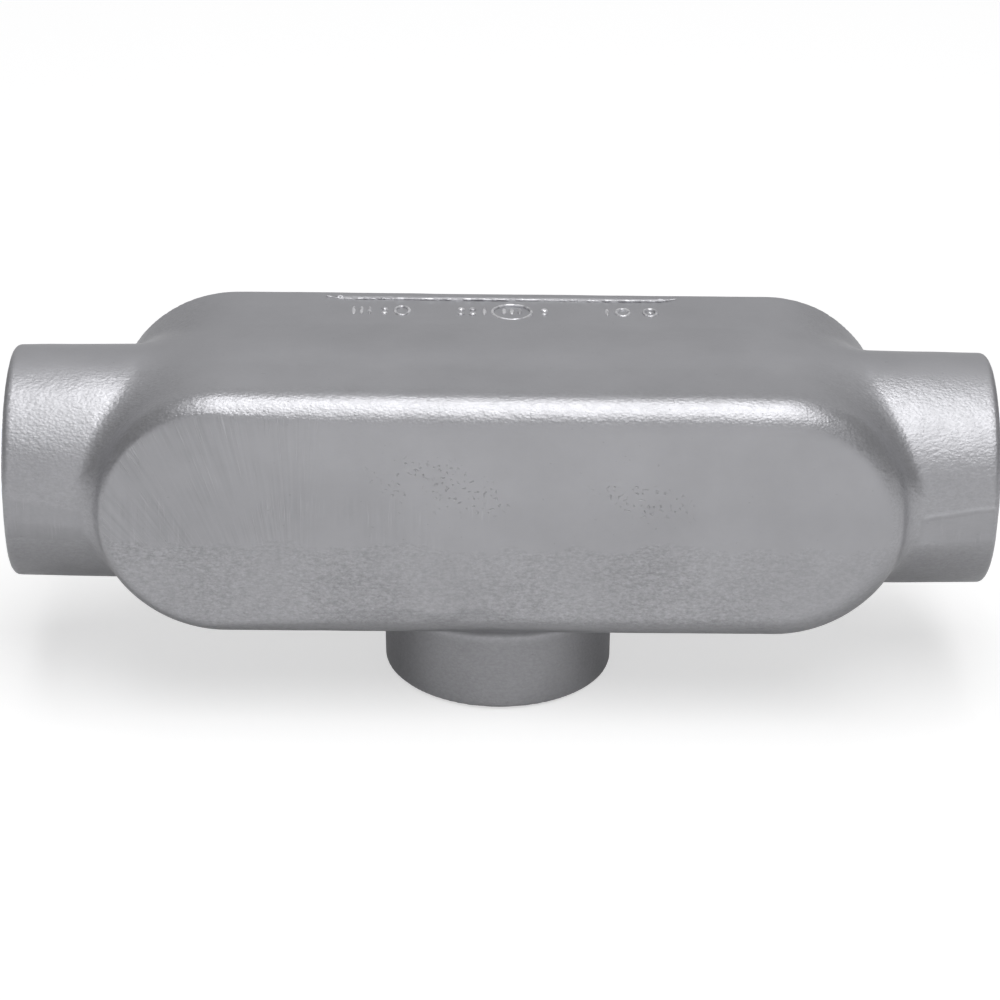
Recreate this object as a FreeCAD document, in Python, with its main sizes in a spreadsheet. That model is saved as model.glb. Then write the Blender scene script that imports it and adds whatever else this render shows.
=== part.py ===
"""Type T conduit body, 3/4 inch trade size: a hollow malleable-iron casting with two run hubs
and one branch hub, closed at the back and shut at the front by a gasketed, screwed cover.

Frame: origin at the mouth of the branch hub, on the plane it stands on. +Z points up, away
from the branch, X lies along the run, -Y is the closed back and +Y is the cover side.
Sizes are millimetres and degrees."""
import FreeCAD, Part
import math
import os
import re
import Sketcher
from FreeCAD import Placement, Rotation, Vector

DIMENSIONS = [
    ("body_length", 120.6, "body outline at the closed back"),
    ("body_draft", 0.6, "taper of the body towards the rim, degrees"),
    ("side_margin", 2.0, "body beyond the hubs, above and below"),
    ("depth_margin", 4.2, "body beyond the hubs, front and back"),
    ("back_edge_radius", 5.0, "rounding around the closed back"),
    ("wall", 3.2, "casting wall"),
    ("inside_bevel", 1.6, "bevel around the floor of the cavity"),
    ("bore_diameter", 26.6, "tapped bore of a hub, at the thread roots"),
    ("bore_lead", 0.4, "lead-in at a hub's mouth"),
    ("hub_wall", 4.2, "hub around its bore, at the mouth"),
    ("hub_draft", 0.8, "taper of the hubs towards their mouths, degrees"),
    ("hub_projection", 13.2, "run hub mouth beyond the end of the body"),
    ("branch_projection", 13.5, "branch hub mouth below the body"),
    ("hub_mouth_bevel", 0.7, "bevel of a hub's outer end edge"),
    ("hub_root_radius", 2.4, "fillet where a hub leaves the body"),
    ("shoulder", 2.9, "step from the bore in to the throat"),
    ("bushing", 3.1, "thickness of the cast bushing behind the shoulder"),
    ("bushing_bevel", 0.9, "bevel of the bushing's lip, at the shoulder"),
    ("screw_setback", 6.3, "cover screw from the end of the body"),
    ("boss_radius", 5.0, "boss that a cover screw is tapped into"),
    ("boss_clearance", 1.3, "boss above the wire way"),
    ("boss_floor", 1.8, "boss below the tapped hole"),
    ("screw_diameter", 4.16, "cover screw over its thread"),
    ("head_diameter", 7.9, "pan head"),
    ("head_height", 2.4, "pan head"),
    ("head_bevel", 1.1, "crown of the pan head"),
    ("slot_width", 1.1, "driver slot"),
    ("slot_depth", 1.2, "driver slot"),
    ("tapping_clearance", 0.05, "tapped hole over screw, on the radius"),
    ("tapping_run_out", 1.2, "tapped hole beyond the end of the screw"),
    ("cover_clearance", 0.35, "cover and gasket hole over screw, on the radius"),
    ("cover_inset", 1.1, "rim edge to cover edge"),
    ("gasket_thickness", 0.8, "gasket"),
    ("gasket_land", 5.4, "width of the gasket along the sides"),
    ("gasket_end_land", 12.4, "width of the gasket at the ends"),
    ("cover_thickness", 1.4, "sheet of the cover"),
    ("pan_end_margin", 12.7, "flat of the cover beyond the pan's ends"),
    ("pan_side_margin", 6.4, "flat of the cover along the pan's sides"),
    ("pan_height", 2.0, "rise of the pan"),
    ("pan_slope", 35.0, "lean of the pan's sides, degrees"),
    ("panel_length", 55.0, "recessed marking panel on the top wall"),
    ("panel_width", 9.5, "recessed marking panel, across"),
    ("panel_depth", 0.35, "recessed marking panel, at its rim side"),
    ("panel_margin", 2.1, "rim to marking panel"),
    ("gate_flat_length", 34.0, "ground flat on the back, where the gate was cut off"),
    ("gate_flat_depth", 1.3, "ground flat, at the end of the body"),
]
NAMES = {name for name, _, _ in DIMENSIONS}

doc = FreeCAD.newDocument("conduit_body")
sheet = doc.addObject("Spreadsheet::Sheet", "Dimensions")
for row, (name, value, meaning) in enumerate(DIMENSIONS, start=1):
    sheet.set(f"A{row}", meaning)
    sheet.set(f"B{row}", str(value))
    sheet.setAlias(f"B{row}", name)
doc.recompute()

# Sizes that follow from the sheet, as formulas. The hubs set the body's width and depth, and
# the hubs and the body's length set where the mouths, the screws and the wire ways lie.
HUB = "(bore_diameter + 2 * hub_wall)"
WIDTH = f"({HUB} + 2 * side_margin)"
DEPTH = f"({HUB} + 2 * depth_margin)"
LEAN = "tan(body_draft * 1 deg)"
RIM = f"({DEPTH} / 2)"
RIM_LENGTH = f"(body_length - 2 * {DEPTH} * {LEAN})"
RIM_WIDTH = f"({WIDTH} - 2 * {DEPTH} * {LEAN})"
RUN_REACH = "(body_length / 2 + hub_projection)"
BRANCH_REACH = f"({WIDTH} / 2 + branch_projection)"
THROAT = "(bore_diameter - 2 * shoulder)"
SCREW_PLACE = "(body_length / 2 - screw_setback)"
SCREW_HOLE = "(screw_diameter + 2 * cover_clearance)"
BOSS_HEIGHT = f"({RIM} - {THROAT} / 2 - boss_clearance)"
TAPPED_DEPTH = f"({BOSS_HEIGHT} - boss_floor)"
COVER_LENGTH = f"({RIM_LENGTH} - 2 * cover_inset)"
COVER_WIDTH = f"({RIM_WIDTH} - 2 * cover_inset)"
COVER_SEAT = f"({RIM} + gasket_thickness)"
HEAD_SEAT = f"({COVER_SEAT} + cover_thickness)"

HUBS = {
    # direction from the hubs' crossing, origin plane across the hub, side of that plane,
    # crossing to mouth, mouth to the shoulder of the bushing
    "left": (Vector(-1, 0, 0), "YZ_Plane", "-", RUN_REACH,
             "(hub_projection + wall - bushing)"),
    "right": (Vector(1, 0, 0), "YZ_Plane", "", RUN_REACH,
              "(hub_projection + wall - bushing)"),
    "branch": (Vector(0, 0, -1), "XY_Plane", "-", BRANCH_REACH,
               "(branch_projection + wall - bushing)"),
}


# ---- the sheet, sketches and features ------------------------------------------------------

def formula(text):
    """A FreeCAD expression, from a formula in which the sheet's names stand bare."""
    return re.sub(r"[a-z_]+", lambda m: f"Dimensions.{m[0]}" if m[0] in NAMES else m[0], text)


def bind(target, path, text):
    target.setExpression(path, formula(text))


def value_of(text):
    """The present value of a formula."""
    return float(sheet.evalExpression(formula(text)))


def new_body(label, forward="0", turned=False):
    """A body with its own origin on the run axis's level. A turned one has its own +Z along the
    frame's +Y, the way that the cover and its screws are stacked."""
    body = doc.addObject("PartDesign::Body", label)
    body.Label = label
    turn = Rotation(Vector(1, 0, 0), -90) if turned else Rotation()
    body.Placement = Placement(Vector(), turn)
    bind(body, "Placement.Base.z", BRANCH_REACH)
    bind(body, "Placement.Base.y", forward)
    return body


def new_sketch(body, name, role, offset="0"):
    """A sketch on one of the body's origin planes, moved along the plane's own normal."""
    sketch = body.newObject("Sketcher::SketchObject", name)
    plane = next(item for item in body.Origin.OriginFeatures if item.Role == role)
    sketch.AttachmentSupport = [(plane, "")]
    sketch.MapMode = "FlatFace"
    bind(sketch, "AttachmentOffset.Base.z", offset)
    doc.recompute()
    return sketch


def constrain(sketch, kind, *where, text=None):
    """Adds a constraint; with a formula, its size is bound to the sheet."""
    if text is None:
        sketch.addConstraint(Sketcher.Constraint(kind, *where))
        return
    index = sketch.addConstraint(Sketcher.Constraint(kind, *where, value_of(text)))
    bind(sketch, f"Constraints[{index}]", text)


def join(sketch, kind, first, second):
    """The end of one element meets the start of the next: point 2 of a line or arc, then 1."""
    constrain(sketch, kind, first, 2, second, 1)


def pin_point(sketch, element, point, across, up):
    """Holds a point of the sketch at two formulas; "0" puts it on an axis. Point 1 is an
    element's start and 3 its centre, and elements -1 and -2 are the sketch's two axes."""
    for axis, kind, text in ((-2, "DistanceX", across), (-1, "DistanceY", up)):
        if text == "0":
            constrain(sketch, "PointOnObject", element, point, axis)
        else:
            constrain(sketch, kind, element, point, text=text)


def add_polygon(sketch, corners):
    """A closed outline of straight lines, each corner held at a pair of formulas."""
    places = [Vector(value_of(across), value_of(up), 0) for across, up in corners]
    first = sketch.GeometryCount
    for here, there in zip(places, places[1:] + places[:1]):
        sketch.addGeometry(Part.LineSegment(here, there), False)
    for index in range(len(corners)):
        join(sketch, "Coincident", first + index, first + (index + 1) % len(corners))
    for index, (across, up) in enumerate(corners):
        pin_point(sketch, first + index, 1, across, up)


def add_round(sketch, diameter, across="0"):
    circle = Part.Circle(Vector(value_of(across), 0, 0), Vector(0, 0, 1), value_of(diameter) / 2)
    index = sketch.addGeometry(circle, False)
    pin_point(sketch, index, 3, across, "0")
    constrain(sketch, "Diameter", index, text=diameter)


def add_half_round(sketch, across, radius, start):
    """Half a circle, anticlockwise from an angle, centred on the sketch's horizontal axis."""
    circle = Part.Circle(Vector(across, 0, 0), Vector(0, 0, 1), radius)
    return sketch.addGeometry(Part.ArcOfCircle(circle, start, start + math.pi), False)


def add_stadium(sketch, length, width):
    """An outline with straight sides and half-round ends, centred on the sketch's origin."""
    radius = value_of(width) / 2
    reach = value_of(length) / 2 - radius
    top = sketch.addGeometry(
        Part.LineSegment(Vector(reach, radius, 0), Vector(-reach, radius, 0)), False)
    left = add_half_round(sketch, -reach, radius, math.pi / 2)
    bottom = sketch.addGeometry(
        Part.LineSegment(Vector(-reach, -radius, 0), Vector(reach, -radius, 0)), False)
    right = add_half_round(sketch, reach, radius, -math.pi / 2)
    for first, second in ((top, left), (left, bottom), (bottom, right), (right, top)):
        join(sketch, "Tangent", first, second)
    constrain(sketch, "Horizontal", top)
    pin_point(sketch, right, 3, f"({length} - {width}) / 2", "0")
    pin_point(sketch, left, 3, f"-({length} - {width}) / 2", "0")
    constrain(sketch, "Radius", right, text=f"{width} / 2")


def add_feature(body, kind, name, sketch=None, grows=True, **settings):
    """Adds a feature, works it out and makes sure that it added or removed material. A setting
    given as text is a formula."""
    before = body.Shape.Volume if body.Tip else 0.0
    feature = body.newObject(f"PartDesign::{kind}", name)
    if sketch is not None:
        feature.Profile = sketch
    for key, setting in settings.items():
        if isinstance(setting, str):
            bind(feature, key, setting)
        else:
            setattr(feature, key, setting)
    doc.recompute()
    if not feature.isValid() or (feature.Shape.Volume > before) is not grows:
        raise RuntimeError(f"{name} did not {'add' if grows else 'remove'} material")
    return feature


def pick_edges(feature, wanted):
    """The names of a feature's edges that a test accepts."""
    return [f"Edge{index}" for index, edge in enumerate(feature.Shape.Edges, start=1)
            if wanted(edge)]


def same(first, second):
    return abs(first - second) < 0.01


def lies_along(surface, axis):
    return surface.Axis.cross(axis).Length < 0.01


def circle_around(axis, reach, diameter):
    """A test for circles around a hub's axis, by their distance from the hubs' crossing."""
    def wanted(edge):
        if not isinstance(edge.Curve, Part.Circle):
            return False
        centre = edge.Curve.Center
        return (same(centre.distanceToPoint(axis * reach), 0)
                and same(edge.Curve.Radius, diameter / 2))
    return wanted


def edge_of(solid, surface_type, axis, nearer_than=math.inf):
    """A test for the edges where a cone or cylinder around a hub's axis meets another face."""
    def wanted(edge):
        faces = solid.ancestorsOfType(edge, Part.Face)
        around = [face for face in faces if isinstance(face.Surface, surface_type)
                  and lies_along(face.Surface, axis)]
        return len(faces) == 2 and len(around) == 1 and 0 < edge.CenterOfMass.dot(axis) < nearer_than
    return wanted


# ---- the casting ---------------------------------------------------------------------------

def add_outside(body):
    """A stadium drafted towards the rim, with a hub on each of three sides."""
    sketch = new_sketch(body, "BackOutline", "XZ_Plane", RIM)
    add_stadium(sketch, "body_length", WIDTH)
    outside = add_feature(body, "Pad", "Outside", sketch, Length=DEPTH,
                          Reversed=True, TaperAngle="-body_draft")
    back = -value_of(RIM)
    around_back = pick_edges(outside, lambda edge: same(edge.BoundBox.YMax, back))
    add_feature(body, "Fillet", "BackEdge", grows=False, Radius="back_edge_radius",
                Base=(outside, around_back))

    run = new_sketch(body, "RunHubProfile", "XZ_Plane")
    add_polygon(run, [(f"-{RUN_REACH}", "0"),
                      (RUN_REACH, "0"),
                      (RUN_REACH, f"{HUB} / 2"),
                      ("0", f"{HUB} / 2 + {RUN_REACH} * tan(hub_draft * 1 deg)"),
                      (f"-{RUN_REACH}", f"{HUB} / 2")])
    add_feature(body, "Revolution", "RunHubs", run, ReferenceAxis=(run, ["H_Axis"]))
    branch = new_sketch(body, "BranchHubProfile", "XZ_Plane")
    add_polygon(branch, [("0", f"-{BRANCH_REACH}"),
                         (f"{HUB} / 2", f"-{BRANCH_REACH}"),
                         (f"{HUB} / 2 + {BRANCH_REACH} * tan(hub_draft * 1 deg)", "0"),
                         ("0", "0")])
    add_feature(body, "Revolution", "BranchHub", branch, ReferenceAxis=(branch, ["V_Axis"]))
    for side in ("left", "right"):
        axis, _, _, reach, _ = HUBS[side]
        solid = body.Tip
        root = edge_of(solid.Shape, Part.Cone, axis, nearer_than=value_of(reach) - 1)
        add_feature(body, "Fillet", f"HubRoot_{side}", Radius="hub_root_radius",
                    Base=(solid, pick_edges(solid, root)))


def add_cavity(body):
    """The wiring space, open at the rim and wider towards the back, as its core was."""
    sketch = new_sketch(body, "CavityOutline", "XZ_Plane", f"-{RIM}")
    add_stadium(sketch, f"({RIM_LENGTH} - 2 * wall)", f"({RIM_WIDTH} - 2 * wall)")
    cavity = add_feature(body, "Pocket", "Cavity", sketch, grows=False,
                         Length=f"{DEPTH} - wall", Reversed=True, TaperAngle="body_draft")
    floor = value_of(f"wall - {RIM}")
    around_floor = pick_edges(cavity, lambda edge: same(edge.BoundBox.YMax, floor)
                              and same(edge.BoundBox.YMin, floor))
    add_feature(body, "Chamfer", "CavityFloor", Size="inside_bevel", Base=(cavity, around_floor))


def add_boss(body, side, sign):
    """A boss that grows inwards from one end of the rim, round towards the cavity."""
    sketch = new_sketch(body, f"BossOutline_{side}", "XZ_Plane", f"-{RIM}")
    outer = f"{sign}({RIM_LENGTH} - wall) / 2"
    centre = value_of(f"{sign}{SCREW_PLACE}")
    radius = value_of("boss_radius")
    nose = add_half_round(sketch, centre, radius, -math.pi / 2 if sign else math.pi / 2)
    rise = radius if sign else -radius
    corners = [Vector(centre, rise, 0), Vector(value_of(outer), rise, 0),
               Vector(value_of(outer), -rise, 0), Vector(centre, -rise, 0)]
    upper, end, lower = [sketch.addGeometry(Part.LineSegment(here, there), False)
                         for here, there in zip(corners, corners[1:])]
    join(sketch, "Tangent", nose, upper)
    join(sketch, "Coincident", upper, end)
    join(sketch, "Coincident", end, lower)
    join(sketch, "Tangent", lower, nose)
    constrain(sketch, "Vertical", end)
    constrain(sketch, "DistanceX", end, 1, text=outer)
    pin_point(sketch, nose, 3, f"{sign}{SCREW_PLACE}", "0")
    constrain(sketch, "Radius", nose, text="boss_radius")
    add_feature(body, "Pad", f"Boss_{side}", sketch, Length=BOSS_HEIGHT)


def add_tapped_holes(body):
    sketch = new_sketch(body, "TappedHoleCentres", "XZ_Plane", f"-{RIM}")
    for sign in ("-", ""):
        add_round(sketch, "(screw_diameter + 2 * tapping_clearance)", f"{sign}{SCREW_PLACE}")
    add_feature(body, "Pocket", "TappedHoles", sketch, grows=False, Reversed=True,
                Length=TAPPED_DEPTH)


def add_bore(body, side):
    """The wire way through a hub: a tapped bore, a shoulder and the cast bushing's throat."""
    axis, plane, sign, reach, depth = HUBS[side]
    mouth = new_sketch(body, f"BoreOutline_{side}", plane, f"{sign}{reach}")
    add_round(mouth, "bore_diameter")
    add_feature(body, "Pocket", f"Bore_{side}", mouth, grows=False,
                Length=depth, Reversed=bool(sign))
    way = new_sketch(body, f"ThroatOutline_{side}", plane, f"{sign}({reach} - {depth})")
    add_round(way, THROAT)
    step = add_feature(body, "Pocket", f"Throat_{side}", way, grows=False,
                       Length=f"{reach} - {depth}", Reversed=bool(sign))
    end = value_of(reach)
    lip = circle_around(axis, end - value_of(depth), value_of(THROAT))
    step = add_feature(body, "Chamfer", f"BushingLip_{side}", grows=False,
                       Size="bushing_bevel", Base=(step, pick_edges(step, lip)))
    lead = pick_edges(step, circle_around(axis, end, value_of("bore_diameter")))
    step = add_feature(body, "Chamfer", f"BoreLead_{side}", grows=False,
                       Size="bore_lead", Base=(step, lead))
    edge = pick_edges(step, circle_around(axis, end, value_of(HUB)))
    add_feature(body, "Chamfer", f"HubMouth_{side}", grows=False,
                Size="hub_mouth_bevel", Base=(step, edge))


def add_marking_panel(body):
    """A shallow recess in the top wall, deepest at its rim side and running out at the other."""
    edge = f"({RIM} - panel_margin)"
    top = f"({WIDTH} / 2 - ({DEPTH} - panel_margin) * {LEAN})"
    section = new_sketch(body, "PanelSection", "YZ_Plane")
    add_polygon(section, [(edge, f"{top} - panel_depth"),
                          (edge, f"{top} + wall"),
                          (f"{edge} - panel_width", f"{top} + wall"),
                          (f"{edge} - panel_width", f"{top} + panel_width * {LEAN}")])
    add_feature(body, "Pocket", "MarkingPanel", section, grows=False,
                Midplane=True, Length="panel_length")


def add_gate_flat(body):
    """The back is ground off at a slant towards the left end, where the metal was poured in."""
    start = "(gate_flat_length - body_length / 2)"
    beyond = "(-body_length / 2 - wall)"
    section = new_sketch(body, "GateFlatSection", "XY_Plane")
    add_polygon(section, [(start, f"-{RIM}"),
                          (beyond, f"gate_flat_depth * (1 + wall / gate_flat_length) - {RIM}"),
                          (beyond, f"-{RIM} - wall"),
                          (start, f"-{RIM} - wall")])
    add_feature(body, "Pocket", "GateFlat", section, grows=False, Midplane=True,
                Length=f"2 * {WIDTH}")


def make_casting():
    body = new_body("body_casting")
    add_outside(body)
    add_cavity(body)
    add_boss(body, "left", "-")
    add_boss(body, "right", "")
    add_tapped_holes(body)
    for side in HUBS:
        add_bore(body, side)
    add_marking_panel(body)
    add_gate_flat(body)
    return body


# ---- the gasket, the cover and its screws --------------------------------------------------

def drill_for_screws(body, name, depth):
    """Two clearance holes for the cover screws, through a flat piece of the given thickness."""
    sketch = new_sketch(body, name, "XY_Plane")
    for sign in ("-", ""):
        add_round(sketch, SCREW_HOLE, f"{sign}{SCREW_PLACE}")
    add_feature(body, "Pocket", f"{name}Cut", sketch, grows=False, Reversed=True, Length=depth)


def make_gasket():
    body = new_body("cover_gasket", forward=RIM, turned=True)
    outline = new_sketch(body, "GasketOutline", "XY_Plane")
    add_stadium(outline, COVER_LENGTH, COVER_WIDTH)
    add_stadium(outline, f"({COVER_LENGTH} - 2 * gasket_end_land)",
                f"({COVER_WIDTH} - 2 * gasket_land)")
    add_feature(body, "Pad", "GasketSheet", outline, Length="gasket_thickness")
    drill_for_screws(body, "GasketHoles", "gasket_thickness")
    return body


def make_cover():
    """A stamped sheet: a flat margin that the screws hold, and a raised pan, hollow behind."""
    body = new_body("cover_plate", forward=COVER_SEAT, turned=True)
    outline = new_sketch(body, "CoverOutline", "XY_Plane")
    add_stadium(outline, COVER_LENGTH, COVER_WIDTH)
    add_feature(body, "Pad", "CoverSheet", outline, Length="cover_thickness")
    pan_length = f"({COVER_LENGTH} - 2 * pan_end_margin)"
    pan_width = f"({COVER_WIDTH} - 2 * pan_side_margin)"
    raised = new_sketch(body, "PanOutline", "XY_Plane", "cover_thickness")
    add_stadium(raised, pan_length, pan_width)
    add_feature(body, "Pad", "Pan", raised, Length="pan_height", TaperAngle="-pan_slope")
    inward = "2 * cover_thickness * tan((90 - pan_slope) / 2 * 1 deg)"
    hollow = new_sketch(body, "PanHollowOutline", "XY_Plane")
    add_stadium(hollow, f"({pan_length} - {inward})", f"({pan_width} - {inward})")
    add_feature(body, "Pocket", "PanHollow", hollow, grows=False, Reversed=True,
                Length="pan_height", TaperAngle="-pan_slope")
    drill_for_screws(body, "CoverHoles", "cover_thickness")
    return body


def make_screw(side, sign):
    """A slotted pan-head screw, seated on the cover with its head outwards."""
    body = new_body(f"cover_screw_{side}", forward=HEAD_SEAT, turned=True)
    bind(body, "Placement.Base.x", f"{sign}{SCREW_PLACE}")
    tip = f"-({HEAD_SEAT} - {RIM} + {TAPPED_DEPTH} - tapping_run_out)"
    profile = new_sketch(body, "ScrewProfile", "XZ_Plane")
    add_polygon(profile, [("0", tip),
                          ("screw_diameter / 2", tip),
                          ("screw_diameter / 2", "0"),
                          ("head_diameter / 2", "0"),
                          ("head_diameter / 2", "head_height - head_bevel"),
                          ("head_diameter / 2 - head_bevel", "head_height"),
                          ("0", "head_height")])
    add_feature(body, "Revolution", "Turned", profile, ReferenceAxis=(profile, ["V_Axis"]))
    slot = new_sketch(body, "SlotSection", "YZ_Plane")
    add_polygon(slot, [("-slot_width / 2", "head_height - slot_depth"),
                       ("slot_width / 2", "head_height - slot_depth"),
                       ("slot_width / 2", "head_height + slot_depth"),
                       ("-slot_width / 2", "head_height + slot_depth")])
    add_feature(body, "Pocket", "Slot", slot, grows=False, Midplane=True,
                Length="2 * head_diameter")
    return body


# ---- build and export ----------------------------------------------------------------------

pieces = [make_casting(), make_gasket(), make_cover(),
          make_screw("left", "-"), make_screw("right", "")]
doc.recompute()

for item in doc.Objects:
    if {"Invalid", "Error"} & set(item.State):
        raise RuntimeError(f"{item.Label} failed: {item.State}")
for piece in pieces:
    if piece.Shape.isNull() or not piece.Shape.isValid() or len(piece.Shape.Solids) != 1:
        raise RuntimeError(f"{piece.Label} is not one sound solid")

os.makedirs("parts", exist_ok=True)
for piece in pieces:
    piece.Shape.exportStep(f"parts/{piece.Label}.step")
    box = piece.Shape.optimalBoundingBox()
    print(f"{piece.Label}: {piece.Shape.Volume:.1f} mm3, x {box.XMin:.2f} to {box.XMax:.2f},"
          f" y {box.YMin:.2f} to {box.YMax:.2f}, z {box.ZMin:.2f} to {box.ZMax:.2f}")
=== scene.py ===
"""Dresses a cast conduit body: the painted sand casting with its three tapped hubs, the gasketed
cover and the two screws that hold it, and stands it in a plain studio. Shapes are worked out in
millimetres and enter the scene through to_frame(); finishes, lights and camera are in metres."""

import math
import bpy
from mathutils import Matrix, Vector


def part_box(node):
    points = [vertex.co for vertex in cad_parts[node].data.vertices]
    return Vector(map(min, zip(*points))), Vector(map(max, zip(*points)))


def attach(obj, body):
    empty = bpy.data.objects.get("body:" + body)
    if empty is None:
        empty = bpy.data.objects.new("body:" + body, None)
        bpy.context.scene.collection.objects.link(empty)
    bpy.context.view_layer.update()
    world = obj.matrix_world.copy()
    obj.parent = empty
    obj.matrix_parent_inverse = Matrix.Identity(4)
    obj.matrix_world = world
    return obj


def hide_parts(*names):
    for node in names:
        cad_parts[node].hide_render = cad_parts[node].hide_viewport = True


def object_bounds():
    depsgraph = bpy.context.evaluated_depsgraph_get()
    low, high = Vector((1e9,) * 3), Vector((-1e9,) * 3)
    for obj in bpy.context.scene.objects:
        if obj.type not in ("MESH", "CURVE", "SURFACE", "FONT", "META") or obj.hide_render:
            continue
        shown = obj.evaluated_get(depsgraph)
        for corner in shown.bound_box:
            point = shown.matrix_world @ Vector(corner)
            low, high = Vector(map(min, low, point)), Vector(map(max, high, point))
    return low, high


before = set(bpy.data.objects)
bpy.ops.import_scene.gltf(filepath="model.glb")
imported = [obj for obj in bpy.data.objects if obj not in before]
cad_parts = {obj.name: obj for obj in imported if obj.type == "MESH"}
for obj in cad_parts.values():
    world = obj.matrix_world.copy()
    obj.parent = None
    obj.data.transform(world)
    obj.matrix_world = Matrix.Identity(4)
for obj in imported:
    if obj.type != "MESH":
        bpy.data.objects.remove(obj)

from types import SimpleNamespace

import bpy
import numpy as np
from mathutils import Matrix, Vector

CAD_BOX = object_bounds()


def box_mm(node):
    return [np.array(corner) * 1000 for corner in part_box(node)]


CASTING = box_mm("body_casting")
COVER = box_mm("cover_plate")
SCREWS = {"left": box_mm("cover_screw_left"), "right": box_mm("cover_screw_right")}

# ---- sizes of the casting, read from the frame or repeated from the part ----
REACH = CASTING[1][0]
HALF_DEPTH = CASTING[1][1]
AXIS = (SCREWS["left"][0][2] + SCREWS["left"][1][2]) / 2
HALF_LENGTH = 60.3
LEAN = math.tan(math.radians(0.6))
BACK_EDGE = 5.0
BACK_RADIUS = CASTING[1][2] - AXIS + BACK_EDGE * LEAN
STRAIGHT = HALF_LENGTH - BACK_RADIUS
HUB_LEAN = math.tan(math.radians(0.8))
HUB_RADIUS = 17.5
BORE_RADIUS = 13.3
THROAT_RADIUS = 10.4
WALL = 3.2
BUSHING_FACE = 60.2
BRANCH_BUSHING_FACE = 13.6
SCREW_PLACE = (SCREWS["right"][0][0] + SCREWS["right"][1][0]) / 2
BOSS_RADIUS, BOSS_HEIGHT = 5.0, 10.0
TAPPED_RADIUS, TAPPED_DEPTH = 2.13, 8.2
PANEL_HALF, PANEL_EDGE, PANEL_WIDTH, PANEL_DEPTH = 27.5, HALF_DEPTH - 2.1, 9.5, 0.4
PANEL_RAMP = 3
GATE_FLAT_LENGTH, GATE_FLAT_DEPTH = 34.0, 1.3
COVER_SHEET, PAN_SIDE_MARGIN, PAN_END_MARGIN, PAN_SLOPE = 1.4, 6.4, 12.7, 35

# ---- roundings of the casting ----
RIM_EDGE, GATE_EDGE, GROUND_EDGE = 0.5, 0.5, 0.15
RUN_MOUTH_EDGE, BRANCH_MOUTH_EDGE, BORE_MOUTH_EDGE = 1.1, 0.9, 0.35
RUN_ROOT, BRANCH_ROOT = 2.8, 1.5
CAVITY_EDGE, BOSS_EDGE, BOSS_ROOT, THROAT_LIP, BORE_SHOULDER = 3.0, 0.8, 1.2, 1.2, 1.1

# ---- what the mould and the belt left ----
GROUND_FLATS = [(1, -4.0, 0.22), (-1, 1.5, 0.12)]       # run hub's side, tilt, depth
SWELLS = [(0.07, 11.0, 3), (0.03, 4.2, 8)]              # height, pitch, seed
SKIN_SETBACK = 0.09

# ---- threads ----
THREAD_PITCH, THREAD_DEPTH, THREAD_TAPER = 1.814, 1.25, 0.018
THREAD_START, THREAD_END = 0.35, 12.7
THREAD_ROOM = 0.15

# ---- marks on the panel: x, height on the panel, half length and half width ----
MARKS_BELOW_EDGE = 5.2
PIP_HEIGHT, PIP_SUNK = 0.3, 0.03
PIPS = [(-22.6, 0, 0.32, 1.7), (-21.4, 0, 0.32, 1.7), (-20.2, 0, 0.32, 1.7),
        (-17.9, 0.9, 0.5, 0.5), (-17.9, -0.9, 0.5, 0.5),
        (-6.2, 1.0, 0.55, 0.55), (-6.2, -1.0, 0.55, 0.55),
        (-4.4, 1.0, 0.55, 0.55), (-4.4, -1.0, 0.55, 0.55), (-2.6, 0, 0.32, 1.5),
        (0.4, 0.1, 0.36, 1.1), (1.6, 0.1, 0.36, 1.1), (2.8, 0.1, 0.36, 1.1),
        (6.6, 0.8, 0.6, 0.6), (6.6, -1.0, 0.45, 0.45), (16.2, 0, 0.32, 1.5), (22.8, 0, 0.4, 0.4)]
HOOPS = [(-15.2, 0, 1.1, 1.7, 0.26), (1.6, -0.2, 3.0, 2.9, 0.24),      # and thickness
         (18.6, 0, 1.0, 1.4, 0.26), (22.8, 0, 1.0, 1.4, 0.26)]
BURR_HALF, BURR_RISE, BURR_SEED = 27.0, 0.16, 5

# ---- cover screws ----
SHANK_RADIUS, POINT_RADIUS, POINT_LENGTH = 2.05, 1.5, 0.6
SLOT_DEPTH, SLOT_HALF_WIDTH = 1.2, 0.55
SLOT_TURN = {"left": 18, "right": -27}

# ---- fineness ----
GRID = 0.55
FACES_KEPT = 190000

# ---- studio ----
FLOOR_REACH, FLOOR_GAP = 3.0, 0.0002
FLOOR_COLOUR = (0.55, 0.55, 0.55, 1)
FLOOR_MIRRORED = (0.90, 0.90, 0.90, 1)
FLOOR_BOUNCE = (0.06, 0.06, 0.06, 1)
FLOOR_GLOW = 0.60
MIRRORED_GLOW = 0.16
ROOM_MIDDLE = (0.13, 0.13, 0.134, 1)
ROOM_FRONT = (0.76, 0.76, 0.77, 1)
ROOM_SIDES = (0.07, 0.07, 0.07, 1)
SOFT_BOXES = [("front_box", 77, 0.06, (0.62, 1.2), 8.8),    # degrees up from the front, aside,
              ("back_box", 154, 0.0, (1.8, 0.9), 1.15)]     # width and height, power
VIEW_TURN, VIEW_RISE, VIEW_ROLL = 0.8, 26.0, -0.84
VIEW_AWAY = 0.501
FOCAL_LENGTH = 3.3                                          # in widths of the picture
VIEW_ASIDE, VIEW_BELOW = 0.0005, 0.0367                     # also in widths of the picture
FILM_WIDTH = 36


# ---- shapes as distance fields: negative inside the metal ----

def round_and(a, b, radius):
    """Where two shapes overlap, with the edge between their faces rounded."""
    over = np.hypot(np.maximum(a + radius, 0), np.maximum(b + radius, 0)) - radius
    return np.minimum(np.maximum(a, b), -radius) + np.maximum(over + radius, 0)


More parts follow.
